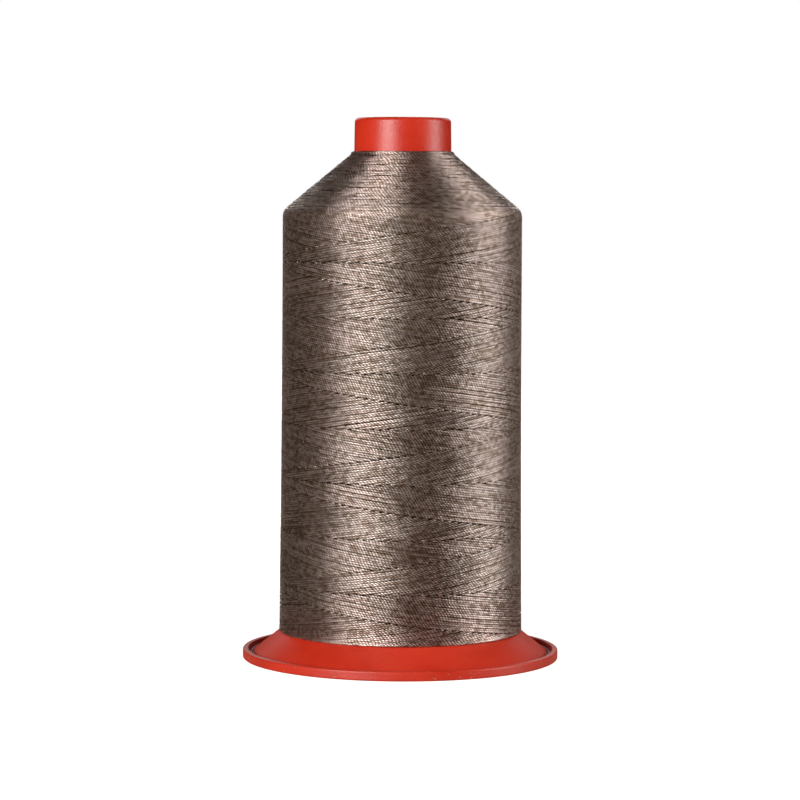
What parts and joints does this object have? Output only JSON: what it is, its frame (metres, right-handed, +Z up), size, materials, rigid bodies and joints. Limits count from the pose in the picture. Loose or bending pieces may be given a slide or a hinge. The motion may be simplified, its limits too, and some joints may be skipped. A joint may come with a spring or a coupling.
{
  "type": "thread spool",
  "caption": "Cylindrical cross-wound thread package on a red moulded tube with a conical skirt and a clip-on foot that opens a thread slit.",
  "frame": {"origin": "bottom centre of the foot's rim, where the spool stands", "axes": "+Z up along the spool's axis, towards the collar"},
  "size_m": [0.064, 0.064, 0.1092],
  "materials": {
    "red_plastic": "satin moulded polypropylene, orange-red",
    "label_paper": "plain matt paper disc with no print",
    "thread": "waxed twisted filament thread, taupe brown with a soft sheen"
  },
  "bodies": {
    "foot": {"snap_base": "red_plastic", "base_label": "label_paper"},
    "spool": {"spool_body": "red_plastic", "thread_package": "thread", "thread_top_layer": "thread"}
  },
  "joints": [
    {"name": "base_snap", "type": "slide", "parent": "foot", "child": "spool", "axis": [0, 0, 1], "range_m": [0, 0.0025]}
  ]
}
